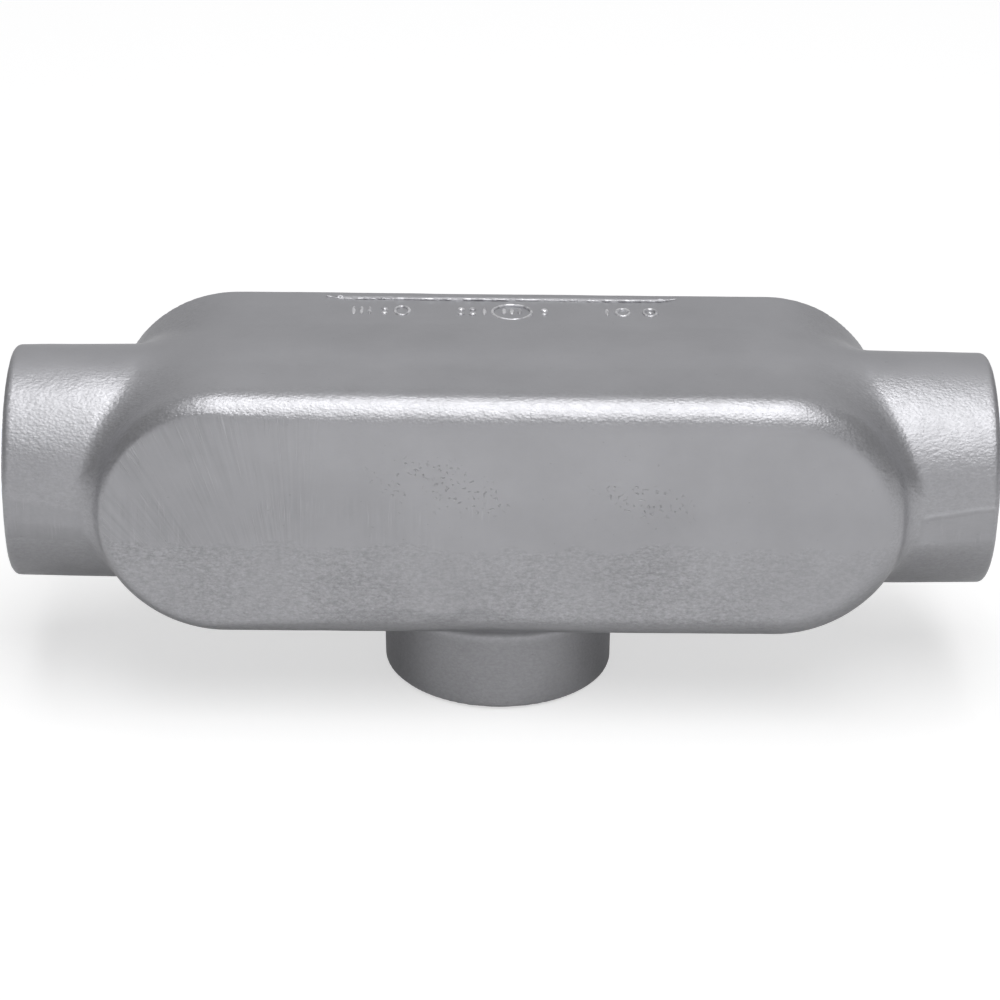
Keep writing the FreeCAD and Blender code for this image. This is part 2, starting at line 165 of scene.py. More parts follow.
def round_or(a, b, radius):
    """Two shapes together, with a fillet in the corner between them."""
    return -round_and(-a, -b, radius)


def lattice_noise(x, y, z, pitch, seed):
    """Smooth unevenness between -1 and 1 with bumps about a pitch apart."""
    table = np.random.RandomState(seed).uniform(-1, 1, (32, 32, 32)).astype(np.float32)
    cells, parts = [], []
    for value in (x, y, z):
        scaled = np.asarray(value, np.float32) / pitch + 1000.3
        cell = np.floor(scaled)
        part = scaled - cell
        cells.append(cell.astype(int))
        parts.append(part * part * (3 - 2 * part))
    total = 0.0
    for dx in (0, 1):
        for dy in (0, 1):
            for dz in (0, 1):
                weight = 1.0
                for part, step in zip(parts, (dx, dy, dz)):
                    weight = weight * (part if step else 1 - part)
                total = total + weight * table[(cells[0] + dx) % 32, (cells[1] + dy) % 32,
                                               (cells[2] + dz) % 32]
    return total


def outside_of_casting(x, y, z):
    """The body, its three hubs, the ground flats and the marking panel."""
    up = z - AXIS
    ring = np.hypot(np.maximum(np.abs(x) - STRAIGHT, 0), up)
    body = round_and(ring - (BACK_RADIUS - (y + HALF_DEPTH) * LEAN), -HALF_DEPTH - y, BACK_EDGE)
    body = round_and(body, y - HALF_DEPTH, RIM_EDGE)
    slope = math.atan(GATE_FLAT_DEPTH / GATE_FLAT_LENGTH)
    flat_start = GATE_FLAT_LENGTH - HALF_LENGTH
    flat = -(y + HALF_DEPTH) * math.cos(slope) - (x - flat_start) * math.sin(slope)
    body = round_and(body, flat, GATE_EDGE)

    run = np.hypot(y, up) - (HUB_RADIUS + (REACH - np.abs(x)) * HUB_LEAN)
    for side, tilt, depth in GROUND_FLATS:
        tilt = math.radians(tilt)
        ground = -y * math.cos(tilt) + up * math.sin(tilt) - (HUB_RADIUS - depth)
        run = np.where(x * side > 0, round_and(run, ground, GROUND_EDGE), run)
    run = round_and(run, np.abs(x) - REACH, RUN_MOUTH_EDGE)
    branch = np.hypot(x, y) - (HUB_RADIUS + z * HUB_LEAN)
    branch = np.maximum(round_and(branch, -z, BRANCH_MOUTH_EDGE), up)
    solid = round_or(round_or(body, run, RUN_ROOT), branch, BRANCH_ROOT)

    top = AXIS + BACK_RADIUS - (y + HALF_DEPTH) * LEAN
    floor = top - PANEL_DEPTH * (y - PANEL_EDGE + PANEL_WIDTH) / PANEL_WIDTH
    ramp = np.maximum(np.abs(x) - PANEL_HALF + PANEL_RAMP, 0)
    floor = floor + ramp * PANEL_DEPTH / PANEL_RAMP
    across = np.abs(y - PANEL_EDGE + PANEL_WIDTH / 2) - PANEL_WIDTH / 2
    panel = np.maximum(np.maximum(np.abs(x) - PANEL_HALF, across), floor - z)
    return np.maximum(solid, -panel)


def inside_of_casting(x, y, z):
    """The cavity, the throats, the bores and the tapped holes."""
    up = z - AXIS
    ring = np.hypot(np.maximum(np.abs(x) - STRAIGHT, 0), up)
    rim_radius = BACK_RADIUS - 2 * HALF_DEPTH * LEAN - WALL
    cavity = round_and(ring - (rim_radius + (HALF_DEPTH - y) * LEAN), WALL - HALF_DEPTH - y,
                       CAVITY_EDGE)
    boss = np.hypot(np.maximum(SCREW_PLACE - np.abs(x), 0), up) - BOSS_RADIUS
    boss = round_and(boss, HALF_DEPTH - BOSS_HEIGHT - y, BOSS_EDGE)
    hollow = round_and(cavity, -boss, BOSS_ROOT)
    around_run, around_branch = np.hypot(y, up), np.hypot(x, y)
    throat = np.maximum(around_run - THROAT_RADIUS, np.abs(x) - BUSHING_FACE - 1)
    hollow = round_or(hollow, throat, THROAT_LIP)
    bore = np.maximum(around_run - BORE_RADIUS - THREAD_ROOM, BUSHING_FACE - np.abs(x))
    hollow = round_or(hollow, bore, BORE_SHOULDER)
    throat = np.maximum(np.maximum(around_branch - THROAT_RADIUS, BRANCH_BUSHING_FACE - 1 - z), up)
    hollow = round_or(hollow, throat, THROAT_LIP)
    bore = np.maximum(around_branch - BORE_RADIUS - THREAD_ROOM, z - BRANCH_BUSHING_FACE)
    hollow = round_or(hollow, bore, BORE_SHOULDER)
    hole = np.maximum(np.hypot(np.abs(x) - SCREW_PLACE, up) - TAPPED_RADIUS,
                      HALF_DEPTH - TAPPED_DEPTH - y)
    return np.minimum(hollow, hole)


def casting_field(x, y, z):
    return round_and(outside_of_casting(x, y, z), -inside_of_casting(x, y, z),
                     BORE_MOUTH_EDGE)


def uneven_casting(x, y, z):
    """The casting with the slight unevenness that its sand mould left."""
    swell = sum(height * lattice_noise(x, y, z, pitch, seed) for height, pitch, seed in SWELLS)
    return casting_field(x, y, z) + SKIN_SETBACK - swell


def slopes(field, points, step):
    """How a field changes across each point."""
    x, y, z = points.T
    return np.stack([field(x + step, y, z) - field(x - step, y, z),
                     field(x, y + step, z) - field(x, y - step, z),
                     field(x, y, z + step) - field(x, y, z - step)], axis=1) / (2 * step)


def settle(field, points, reach, rounds=3):
    """Moves points on to the surface of a field."""
    for _ in range(rounds):
        slope = slopes(field, points, 0.03)
        length = np.maximum((slope ** 2).sum(axis=1, keepdims=True), 0.05)
        move = field(*points.T)[:, None] * slope / length
        size = np.linalg.norm(move, axis=1, keepdims=True)
        points = points - move * np.minimum(1, reach / np.maximum(size, 1e-9))
    return np.clip(points, CASTING[0] + 0.01, CASTING[1] - 0.01)


def skin_of(field, low, high, pitch):
    """A mesh of quads on a field's surface: one point in each grid cell that it passes through."""
    axes = [np.arange(a, b + pitch, pitch, dtype=np.float32) for a, b in zip(low, high)]
    x, y, z = np.meshgrid(*axes, indexing="ij", sparse=True)
    values = field(x, y, z).astype(np.float32)
    within = values < 0
    shape = [n - 1 for n in values.shape]
    offsets = [(i, j, k) for i in (0, 1) for j in (0, 1) for k in (0, 1)]
    count = sum(within[i:i + shape[0], j:j + shape[1], k:k + shape[2]].astype(np.int8)
                for i, j, k in offsets)
    cells = np.argwhere((count > 0) & (count < 8))
    number = np.full(shape, -1, np.int64)
    number[tuple(cells.T)] = np.arange(len(cells))
    corner = {o: values[tuple((cells + o).T)] for o in offsets}
    total, crossings = np.zeros((len(cells), 3)), np.zeros((len(cells), 1))
    for a in offsets:
        for axis in range(3):
            if a[axis]:
                continue
            b = tuple(1 if i == axis else v for i, v in enumerate(a))
            crosses = (corner[a] < 0) != (corner[b] < 0)
            share = corner[a] / np.where(crosses, corner[a] - corner[b], 1)
            place = np.tile(np.array(a, float), (len(cells), 1))
            place[:, axis] = share
            total += np.where(crosses[:, None], place, 0)
            crossings += crosses[:, None]
    points = np.array(low) + (cells + total / crossings) * pitch
    faces = []
    for axis in range(3):
        second, third = (axis + 1) % 3, (axis + 2) % 3
        here = [slice(1, n) for n in shape]
        ahead = list(here)
        here[axis], ahead[axis] = slice(0, shape[axis]), slice(1, shape[axis] + 1)
        first = within[tuple(here)]
        for leaves in (True, False):
            edge = np.argwhere((first == leaves) & (within[tuple(ahead)] != leaves))
            edge += [0 if i == axis else 1 for i in range(3)]
            ring = []
            for back_second, back_third in ((1, 1), (0, 1), (0, 0), (1, 0)):
                cell = edge.copy()
                cell[:, second] -= back_second
                cell[:, third] -= back_third
                ring.append(number[tuple(cell.T)])
            faces.append(np.stack(ring if leaves else ring[::-1], axis=1))
    return points, np.concatenate(faces)


# ---- pieces ----

def to_frame(points):
    return np.asarray(points, float) * 0.001


def make_piece(name, points, faces, finish, slot, replaces=()):
    mesh = bpy.data.meshes.new(name)
    mesh.from_pydata(to_frame(points).tolist(), [], [list(map(int, face)) for face in faces])
    mesh.validate()
    mesh.shade_smooth()
    mesh.materials.append(finish)
    piece = bpy.data.objects.new(name, mesh)
    bpy.context.scene.collection.objects.link(piece)
    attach(piece, "root")
    if replaces:
        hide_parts(*replaces)
    return piece


def bands(rings, steps, closed=False):
    """Faces between rings of points that follow one another, steps points to a ring."""
    faces = []
    for ring in range(rings if closed else rings - 1):
        here, there = ring * steps, (ring + 1) % rings * steps
        for step in range(steps):
            after = (step + 1) % steps
            faces.append((here + step, here + after, there + after, there + step))
    return faces


def ends(rings, steps):
    """The two faces that shut the first and the last ring."""
    last = (rings - 1) * steps
    return [tuple(range(steps))[::-1], tuple(range(last, last + steps))]


def turned_over(faces):
    return [face[::-1] for face in faces]


def make_casting(finish):
    margin = 2 * GRID
    points, faces = skin_of(casting_field, CASTING[0] - margin, CASTING[1] + margin, GRID)
    points = settle(uneven_casting, points, GRID / 2)
    piece = make_piece("casting", points, faces, finish, "casting", ["body_casting"])
    share = FACES_KEPT / (2 * len(faces))
    if share < 1:
        thinner = piece.modifiers.new("thinner", "DECIMATE")
        thinner.ratio = share
        shown = piece.evaluated_get(bpy.context.evaluated_depsgraph_get())
        mesh = bpy.data.meshes.new_from_object(shown)
        piece.modifiers.clear()
        piece.data = mesh
        places = np.empty(len(mesh.vertices) * 3)
        mesh.vertices.foreach_get("co", places)
        points = settle(uneven_casting, places.reshape(-1, 3) * 1000, GRID / 3, rounds=2)
        mesh.vertices.foreach_set("co", to_frame(points).ravel())
        mesh.update()
        mesh.shade_smooth()
    normals = slopes(uneven_casting, points, 0.12)
    normals /= np.maximum(np.linalg.norm(normals, axis=1, keepdims=True), 1e-9)
    piece.data.normals_split_custom_set_from_vertices(normals.tolist())
    return piece


def turned(hub, across, around, along):
    """Points around a hub's axis: radius, angle, and distance inwards from its mouth."""
    u, v = across * np.cos(around), across * np.sin(around)
    if hub == "branch":
        return np.stack([u, v, along], axis=-1)
    side = 1 if hub == "right" else -1
    return np.stack([side * (REACH - along), u * side, v + AXIS], axis=-1)


def make_thread(hub, finish):
    """A right-hand taper thread cut in a hub, as a thin sleeve that lines the bore."""
    turns, steps = 96, 150
    run_in, run_out = 1.4, 0.9
    around = np.linspace(0, 2 * math.pi, turns, endpoint=False)
    along = np.linspace(THREAD_START, THREAD_END, steps)
    grid_along, grid_around = np.meshgrid(along, around, indexing="ij")
    phase = (grid_along / THREAD_PITCH - grid_around / (2 * math.pi)) % 1
    flank = np.clip(1.25 - 2.6 * np.abs(phase - 0.5), 0.0, 1.0)
    fade = (np.clip((grid_along - THREAD_START) / run_in, 0, 1)
            * np.clip((THREAD_END - grid_along) / run_out, 0, 1))
    inner = BORE_RADIUS + 0.02 - THREAD_DEPTH * flank * fade - THREAD_TAPER * grid_along
    outer = np.full(turns, BORE_RADIUS + 0.25)
    rings = [turned(hub, inner[i], around, grid_along[i]) for i in range(steps)]
    rings += [turned(hub, outer, around, np.full(turns, at)) for at in (THREAD_END, THREAD_START)]
    faces = bands(len(rings), turns, closed=True)
    if hub == "branch":
        faces = turned_over(faces)
    return make_piece(f"thread_{hub}", np.concatenate(rings), faces, finish, "casting")


def dome(centre, reach, sideways, height, rings=6, steps=20):
    """A low rounded pip on the marking panel, longer one way if asked."""
    points = []
    for ring in range(rings + 1):
        share = ring / rings * math.pi / 2
        for step in range(steps):
            angle = step / steps * 2 * math.pi
            points.append((centre[0] + reach * math.cos(angle) * math.cos(share),
                           centre[1] + sideways * math.sin(angle) * math.cos(share),
                           centre[2] + height * math.sin(share)))
    return points, bands(rings + 1, steps) + ends(rings + 1, steps)[:1]


def hoop(centre, reach, sideways, thick, steps=40, sides=8):
    """A raised oval line on the marking panel."""
    points = []
    for step in range(steps):
        angle = step / steps * 2 * math.pi
        for side in range(sides):
            tip = side / sides * 2 * math.pi
            out = thick * math.cos(tip)
            points.append((centre[0] + (reach + out) * math.cos(angle),
                           centre[1] + (sideways + out) * math.sin(angle),
                           centre[2] + thick * math.sin(tip)))
    return points, turned_over(bands(steps, sides, closed=True))


def gathered(shapes):
    points, faces = [], []
    for some_points, some_faces in shapes:
        start = len(points)
        points += list(some_points)
        faces += [tuple(start + index for index in face) for face in some_faces]
    return points, faces


def panel_floor(y):
    top = AXIS + BACK_RADIUS - (y + HALF_DEPTH) * LEAN
    sunk = PANEL_DEPTH * max(0.0, y - PANEL_EDGE + PANEL_WIDTH) / PANEL_WIDTH
    return top - sunk - SKIN_SETBACK


def make_marks(finish):
    """Plain raised pips, bars and hoops in three groups, where such bodies carry cast marks."""
    middle = PANEL_EDGE - MARKS_BELOW_EDGE
    shapes = [dome((x, middle + y, panel_floor(middle + y) - PIP_SUNK), reach, sideways,
                   PIP_HEIGHT) for x, y, reach, sideways in PIPS]
    shapes += [hoop((x, middle + y, panel_floor(middle)), reach, sideways, thick)
               for x, y, reach, sideways, thick in HOOPS]
    return make_piece("cast_marks", *gathered(shapes), finish, "casting")


def make_panel_edge(finish):
    """The broken burr along the rim side of the marking panel."""
    random = np.random.RandomState(BURR_SEED)
    steps, sides = 260, 8
    along = np.linspace(-BURR_HALF, BURR_HALF, steps)
    wander = np.convolve(random.uniform(-1, 1, steps + 8), np.ones(9) / 9, "valid") * 0.10
    size = 0.12 + 0.22 * np.convolve(random.uniform(-1, 1, steps + 4), np.ones(5) / 5, "valid")
    size = np.clip(size, 0.02, 0.2)
    on_ramp = np.clip(np.abs(along) - PANEL_HALF + PANEL_RAMP, 0, PANEL_RAMP)
    rise = PANEL_DEPTH * on_ramp / PANEL_RAMP
    base = panel_floor(PANEL_EDGE) + BURR_RISE
    points = []
    for x, y, thick, lift in zip(along, PANEL_EDGE - 0.05 + wander, size, rise):
        for side in range(sides):
            tip = side / sides * 2 * math.pi
            points.append((x, y + thick * math.cos(tip), base + lift + thick * math.sin(tip)))
    return make_piece("panel_burr", points, bands(steps, sides) + ends(steps, sides), finish,
                      "casting")


def stadium(radius, straight, steps=40):
    """Corners of an outline with straight sides and half-round ends, as (x, height) pairs."""
    angles = np.linspace(-math.pi / 2, math.pi / 2, steps)
    right = [(straight + radius * math.cos(a), radius * math.sin(a)) for a in angles]
    left = [(-straight - radius * math.cos(a), -radius * math.sin(a)) for a in angles]
    return right + left


def arc(centre, radius, start, end, steps=5):
    """Section points on an arc, as (distance, depth) pairs."""
    return [(centre[0] + radius * math.cos(a), centre[1] + radius * math.sin(a))
            for a in np.radians(np.linspace(start, end, steps))]


def make_cover(finish):
    """The stamped cover: rolled-over edge, flat margin and a raised pan."""
    edge = COVER[1][0] - STRAIGHT
    back, face, crown = COVER[0][1], COVER[0][1] + COVER_SHEET, COVER[1][1]
    shoulder = edge - PAN_SIDE_MARGIN
    foot = math.tan(math.radians(PAN_SLOPE)) * (crown - face)
    section = [(edge - 0.3, back), (edge, back + 0.3)]
    section += arc((edge - 0.7, face - 0.7), 0.7, 0, 90)
    section += [(shoulder + 1.0, face)]
    section += arc((shoulder + 0.5, face + 0.5), 0.5, -90, -145, 4)
    section += arc((shoulder - foot - 0.9, crown - 1.2), 1.2, 35, 90, 6)
    section += [(shoulder - foot - 2.5, crown), (2.0, crown)]
    pan_straight = STRAIGHT - (PAN_END_MARGIN - PAN_SIDE_MARGIN)
    rings = [stadium(radius, STRAIGHT if radius > shoulder + 1.2 else pan_straight)
             for radius, _ in section]
    points = [(x, depth, AXIS + height) for ring, (_, depth) in zip(rings, section)
              for x, height in ring]
    count = len(rings[0])
    faces = turned_over(bands(len(rings), count) + ends(len(rings), count))
    piece = make_piece("stamped_cover", points, faces, finish, "cover", ["cover_plate"])
    piece.data.set_sharp_from_angle(angle=math.radians(28))
    return piece


def slot_cutter(centre, top, reach, turn):
    """A bar across a screw's head, as deep again above the head as it cuts into it."""
    corners = []
    for along in (-reach, reach):
        for depth in (-SLOT_DEPTH, SLOT_DEPTH):
            for aside in (-SLOT_HALF_WIDTH, SLOT_HALF_WIDTH):
                corners.append((centre[0] + along * math.cos(turn) - aside * math.sin(turn),
                                top + depth,
                                AXIS + along * math.sin(turn) + aside * math.cos(turn)))
    sides = [(0, 1, 3, 2), (4, 6, 7, 5), (0, 4, 5, 1), (2, 3, 7, 6), (0, 2, 6, 4), (1, 5, 7, 3)]
    mesh = bpy.data.meshes.new("slot_tool")
    mesh.from_pydata(to_frame(corners).tolist(), [], sides)
    cutter = bpy.data.objects.new("slot_tool", mesh)
    bpy.context.scene.collection.objects.link(cutter)
    return cutter


def make_screw(side, finish):
    """A slotted pan head, turned and then slotted, on its shank."""
    low, high = SCREWS[side]
    centre = (low + high) / 2
    radius = (high[0] - low[0]) / 2
    seat, top = COVER[0][1] + COVER_SHEET, high[1]
    section = [(0.0, low[1]), (POINT_RADIUS, low[1]), (SHANK_RADIUS, low[1] + POINT_LENGTH),
               (SHANK_RADIUS, seat), (radius - 0.15, seat)]
    section += arc((radius - 0.3, seat + 0.35), 0.3, -60, 20, 4)
    section += arc((radius - 1.5, top - 1.55), 1.5, 10, 78, 9)
    section += [(radius - 2.2, top - 0.01), (0.0, top)]
    steps = 56
    points = []
    for distance, depth in section:
        for step in range(steps):
            angle = step / steps * 2 * math.pi
            points.append((centre[0] + max(distance, 0.01) * math.cos(angle), depth,
                           AXIS + max(distance, 0.01) * math.sin(angle)))
    faces = bands(len(section), steps) + ends(len(section), steps)
    piece = make_piece(f"pan_screw_{side}", points, faces, finish, "screws",
                       [f"cover_screw_{side}"])
    cutter = slot_cutter(centre, top, radius + 1, math.radians(SLOT_TURN[side]))
    slotting = piece.modifiers.new("slot", "BOOLEAN")
    slotting.operation, slotting.object, slotting.solver = "DIFFERENCE", cutter, "EXACT"
    mesh = bpy.data.meshes.new_from_object(
        piece.evaluated_get(bpy.context.evaluated_depsgraph_get()))
    piece.modifiers.clear()
    piece.data = mesh
    bpy.data.objects.remove(cutter)
    mesh.shade_smooth()
    mesh.set_sharp_from_angle(angle=math.radians(32))
    return piece


# ---- finishes ----

class Board:
    """Places nodes in a node tree and wires them."""

    def __init__(self, tree):
        self.tree = tree

    def add(self, kind, inputs=None, **settings):
        node = self.tree.nodes.new(f"ShaderNode{kind}")
        for name, value in settings.items():
            setattr(node, name, value)
        for key, value in (inputs or {}).items():
            if isinstance(value, bpy.types.NodeSocket):
                self.tree.links.new(value, node.inputs[key])
            else:
                node.inputs[key].default_value = value
        return node

    def calc(self, operation, *values):
        return self.add("Math", dict(enumerate(values)), operation=operation).outputs[0]

    def plus(self, first, second):
        return self.calc("ADD", first, second)

    def minus(self, first, second):
        return self.calc("SUBTRACT", first, second)

    def times(self, first, *others):
        for other in others:
            first = self.calc("MULTIPLY", first, other)
        return first

    def weigh(self, value, weight, base):
        """The value times its weight, on top of the base."""
        return self.calc("MULTIPLY_ADD", value, weight, base)

    def larger(self, first, second):
        return self.calc("MAXIMUM", first, second)

    def size(self, value):
        return self.calc("ABSOLUTE", value)

    def length(self, first, second):
        squares = self.plus(self.times(first, first), self.times(second, second))
        return self.calc("SQRT", squares)

    def apart(self, vector):
        return self.add("SeparateXYZ", {0: vector}).outputs

    def fade(self, value, low, high, smooth=True):
        """0 below low and 1 above high; the other way round if low is the larger."""
        return self.add("MapRange", {0: value, 1: low, 2: high, 3: 0.0, 4: 1.0},
                        interpolation_type="SMOOTHSTEP" if smooth else "LINEAR").outputs[0]

    def blend(self, share, first, second):
        """From first to second, for numbers."""
        return self.add("Mix", {0: share, 2: first, 3: second}, data_type="FLOAT").outputs[0]

    def tint(self, share, first, second):
        """From first to second, for colours."""
        return self.add("Mix", {0: share, 6: first, 7: second}, data_type="RGBA").outputs[2]

    def noise(self, vector, scale, detail=2.0, roughness=0.5):
        return self.add("TexNoise", {"Vector": vector, "Scale": scale, "Detail": detail,
                                     "Roughness": roughness}).outputs[0]

    def stretched(self, vector, scale):
        return self.add("Mapping", {"Vector": vector, "Scale": scale}).outputs[0]

    def use(self, tree, inputs):
        """The outputs of a node group, with its inputs filled in."""
        return self.add("Group", inputs, node_tree=tree).outputs


def new_group(name, inputs, outputs):
    tree = bpy.data.node_groups.new(name, "ShaderNodeTree")
    for label, kind, value in inputs:
        socket = tree.interface.new_socket(label, in_out="INPUT", socket_type=f"NodeSocket{kind}")
        if value is not None:
            socket.default_value = value
    for label, kind in outputs:
        tree.interface.new_socket(label, in_out="OUTPUT", socket_type=f"NodeSocket{kind}")
    return tree, Board(tree), tree.nodes.new("NodeGroupInput"), tree.nodes.new("NodeGroupOutput")


def sand_grain_group():
    """Paint over a sand-cast skin: rounded grains with finer roughness and a few pores."""
    tree, board, given, result = new_group(
        "sand_grain", [("Place", "Vector", None), ("Grain size", "Float", 0.0005),
                       ("Pores", "Float", 0.3)],
        [("Height", "Float"), ("Tone", "Float"), ("Pores", "Float")])
    place = given.outputs["Place"]
    per_grain = board.calc("DIVIDE", 1.0, given.outputs["Grain size"])
    grains = board.add("TexVoronoi", {"Vector": place, "Scale": per_grain, "Smoothness": 0.5},
                       feature="SMOOTH_F1").outputs["Distance"]
    coarse = board.noise(place, board.times(per_grain, 0.42), 4.0, 0.62)
    fine = board.noise(place, board.times(per_grain, 2.1), 2.0, 0.6)
    spots = board.noise(place, board.times(per_grain, 0.8), 1.0, 0.5)
    pores = board.times(board.fade(spots, 0.25, 0.19), given.outputs["Pores"])
    height = board.weigh(fine, 0.5, board.weigh(grains, -0.8, coarse))
    tone = board.fade(board.weigh(grains, -0.45, fine), 0.10, 0.56, smooth=False)
    tree.links.new(board.minus(height, pores), result.inputs["Height"])
    tree.links.new(tone, result.inputs["Tone"])
    tree.links.new(pores, result.inputs["Pores"])
    return tree


def grinding_group():
    """Fine lines left by a grinding belt: narrow noise drawn out along the stroke."""
    tree, board, given, result = new_group(
        "grinding_lines", [("Across", "Float", 0.0), ("Along", "Float", 0.0),
                           ("Line width", "Float", 0.0004), ("Line length", "Float", 0.012)],
        [("Height", "Float"), ("Lines", "Float")])
    across = board.calc("DIVIDE", given.outputs["Across"], given.outputs["Line width"])
    along = board.calc("DIVIDE", given.outputs["Along"], given.outputs["Line length"])
    place = board.add("CombineXYZ", {0: across, 1: along}).outputs[0]
    broad = board.noise(place, 0.5, 1.0, 0.5)
    lines = board.fade(board.noise(place, 1.1, 1.0, 0.5), 0.60, 0.74)
    tree.links.new(board.weigh(lines, 0.8, broad), result.inputs["Height"])
    tree.links.new(lines, result.inputs["Lines"])
    return tree


def new_finish(name, **principled):
    finish = bpy.data.materials.new(name)
    finish.use_nodes = True
    shader = finish.node_tree.nodes["Principled BSDF"]
    for key, value in principled.items():
        shader.inputs[key].default_value = value
    return finish, Board(finish.node_tree), shader


def link(board, source, shader, name):
    board.tree.links.new(source, shader.inputs[name])


def raise_by(board, shader, height, distance, strength=1.0):
    """Gives a shader the relief of a height, by its distance at full height."""
    bump = board.add("Bump", {"Strength": strength, "Distance": distance, "Height": height})
    link(board, bump.outputs[0], shader, "Normal")


def worked_zones(board, at):
    """Where the casting was dressed and where its skin is as cast, as shares from 0 to 1."""
    zones = SimpleNamespace()
    # the back is dressed down to a ragged line near the parting plane
    zones.on_back = board.times(board.fade(at.facing[1], -0.88, -0.985),
                                board.fade(at.y, -0.0186, -0.0196))
    zones.above = board.fade(board.weigh(at.ragged, 0.007, at.up), -0.0044, -0.0029)
    zones.dressed = board.times(zones.on_back, zones.above)
    patchy = board.fade(board.noise(at.place, 38.0, 2.0, 0.55), 0.34, 0.60)
    less_right = board.weigh(board.fade(at.x, 0.028, 0.048), -0.55, 1.0)
    zones.patchy = board.times(board.weigh(patchy, 0.5, 0.5), less_right)
    zones.as_cast = board.times(zones.on_back, board.fade(zones.above, 1.0, 0.0), zones.patchy)
    on_top = board.times(board.fade(at.facing[2], 0.93, 0.99), board.fade(at.y, -0.018, -0.014))

    # a band across the front of each run hub, which ends at a slanting line
    slant = board.weigh(board.minus(at.off_middle, 0.0628), -0.17, at.up)
    zones.slant = board.weigh(at.ragged, 0.0012, slant)
    band = board.size(board.weigh(at.ragged, 0.004, board.plus(at.up, 0.0015)))
    zones.hub_front = board.times(
        board.times(board.fade(at.facing[1], -0.90, -0.96), board.fade(band, 0.0036, 0.0030)),
        board.fade(at.off_middle, 0.0600, 0.0615), board.fade(zones.slant, 0.0004, -0.0004))
    smooth = board.larger(board.times(zones.dressed, 0.9), board.times(on_top, 0.86))
    zones.smooth = board.larger(smooth, board.times(zones.hub_front, 0.7))
    return zones


def belt_strokes(board, at, zones, grinding):
    """The strokes' height and tone: they fan out from below the left of the back, and stand
    upright elsewhere."""
    from_x, from_z = board.minus(at.x, -0.030), board.minus(at.z, 0.001)
    around = board.calc("ARCTAN2", from_x, from_z)
    fan = board.use(grinding, {"Across": board.times(around, 0.036),
                               "Along": board.length(from_x, from_z),
                               "Line width": 0.00023, "Line length": 0.0085})["Height"]
    upright = board.use(grinding, {"Across": at.x, "Along": at.z, "Line width": 0.00036,
                                   "Line length": 0.006})["Height"]
    on_left = board.times(board.fade(at.x, -0.024, -0.033),
                          board.fade(board.noise(at.place, 70.0), 0.28, 0.48))
    fan_zone = board.times(zones.dressed, on_left)
    low_down = board.times(zones.dressed, board.fade(at.up, 0.0055, 0.0035))
    broken = board.times(board.fade(board.noise(at.place, 90.0), 0.44, 0.6),
                         board.fade(board.minus(at.x, zones.hub_front), 0.006, -0.006))
    upright_zone = board.times(board.larger(low_down, zones.hub_front), broken)
    height = board.plus(board.times(fan, fan_zone),
                        board.times(upright, board.times(upright_zone, 0.55)))
    tone = board.plus(board.times(board.minus(fan, 0.62), fan_zone),
                      board.times(board.minus(upright, 0.62), board.times(upright_zone, 0.5)))
    return height, tone


def pinholes(board, at, on_back):
    """Pinholes that the dressing did not reach, in two clusters."""
    def cluster(at_x, at_up, reach):
        off_x = board.times(board.minus(at.x, at_x), 0.38)
        off_up = board.minus(board.weigh(off_x, 0.5, at.up), at_up)
        return board.fade(board.length(off_x, off_up), reach, reach * 0.3)

    spread = board.times(board.larger(cluster(-0.009, 0.0062, 0.0060),
                                      cluster(0.021, 0.0044, 0.0042)), on_back)
    holes = board.fade(board.noise(at.place, 1800.0, 1.0), 0.62, 0.72)
    some = board.plus(board.noise(at.place, 260.0), board.times(spread, 0.12))
    return board.times(holes, board.fade(some, 0.52, 0.60), spread)


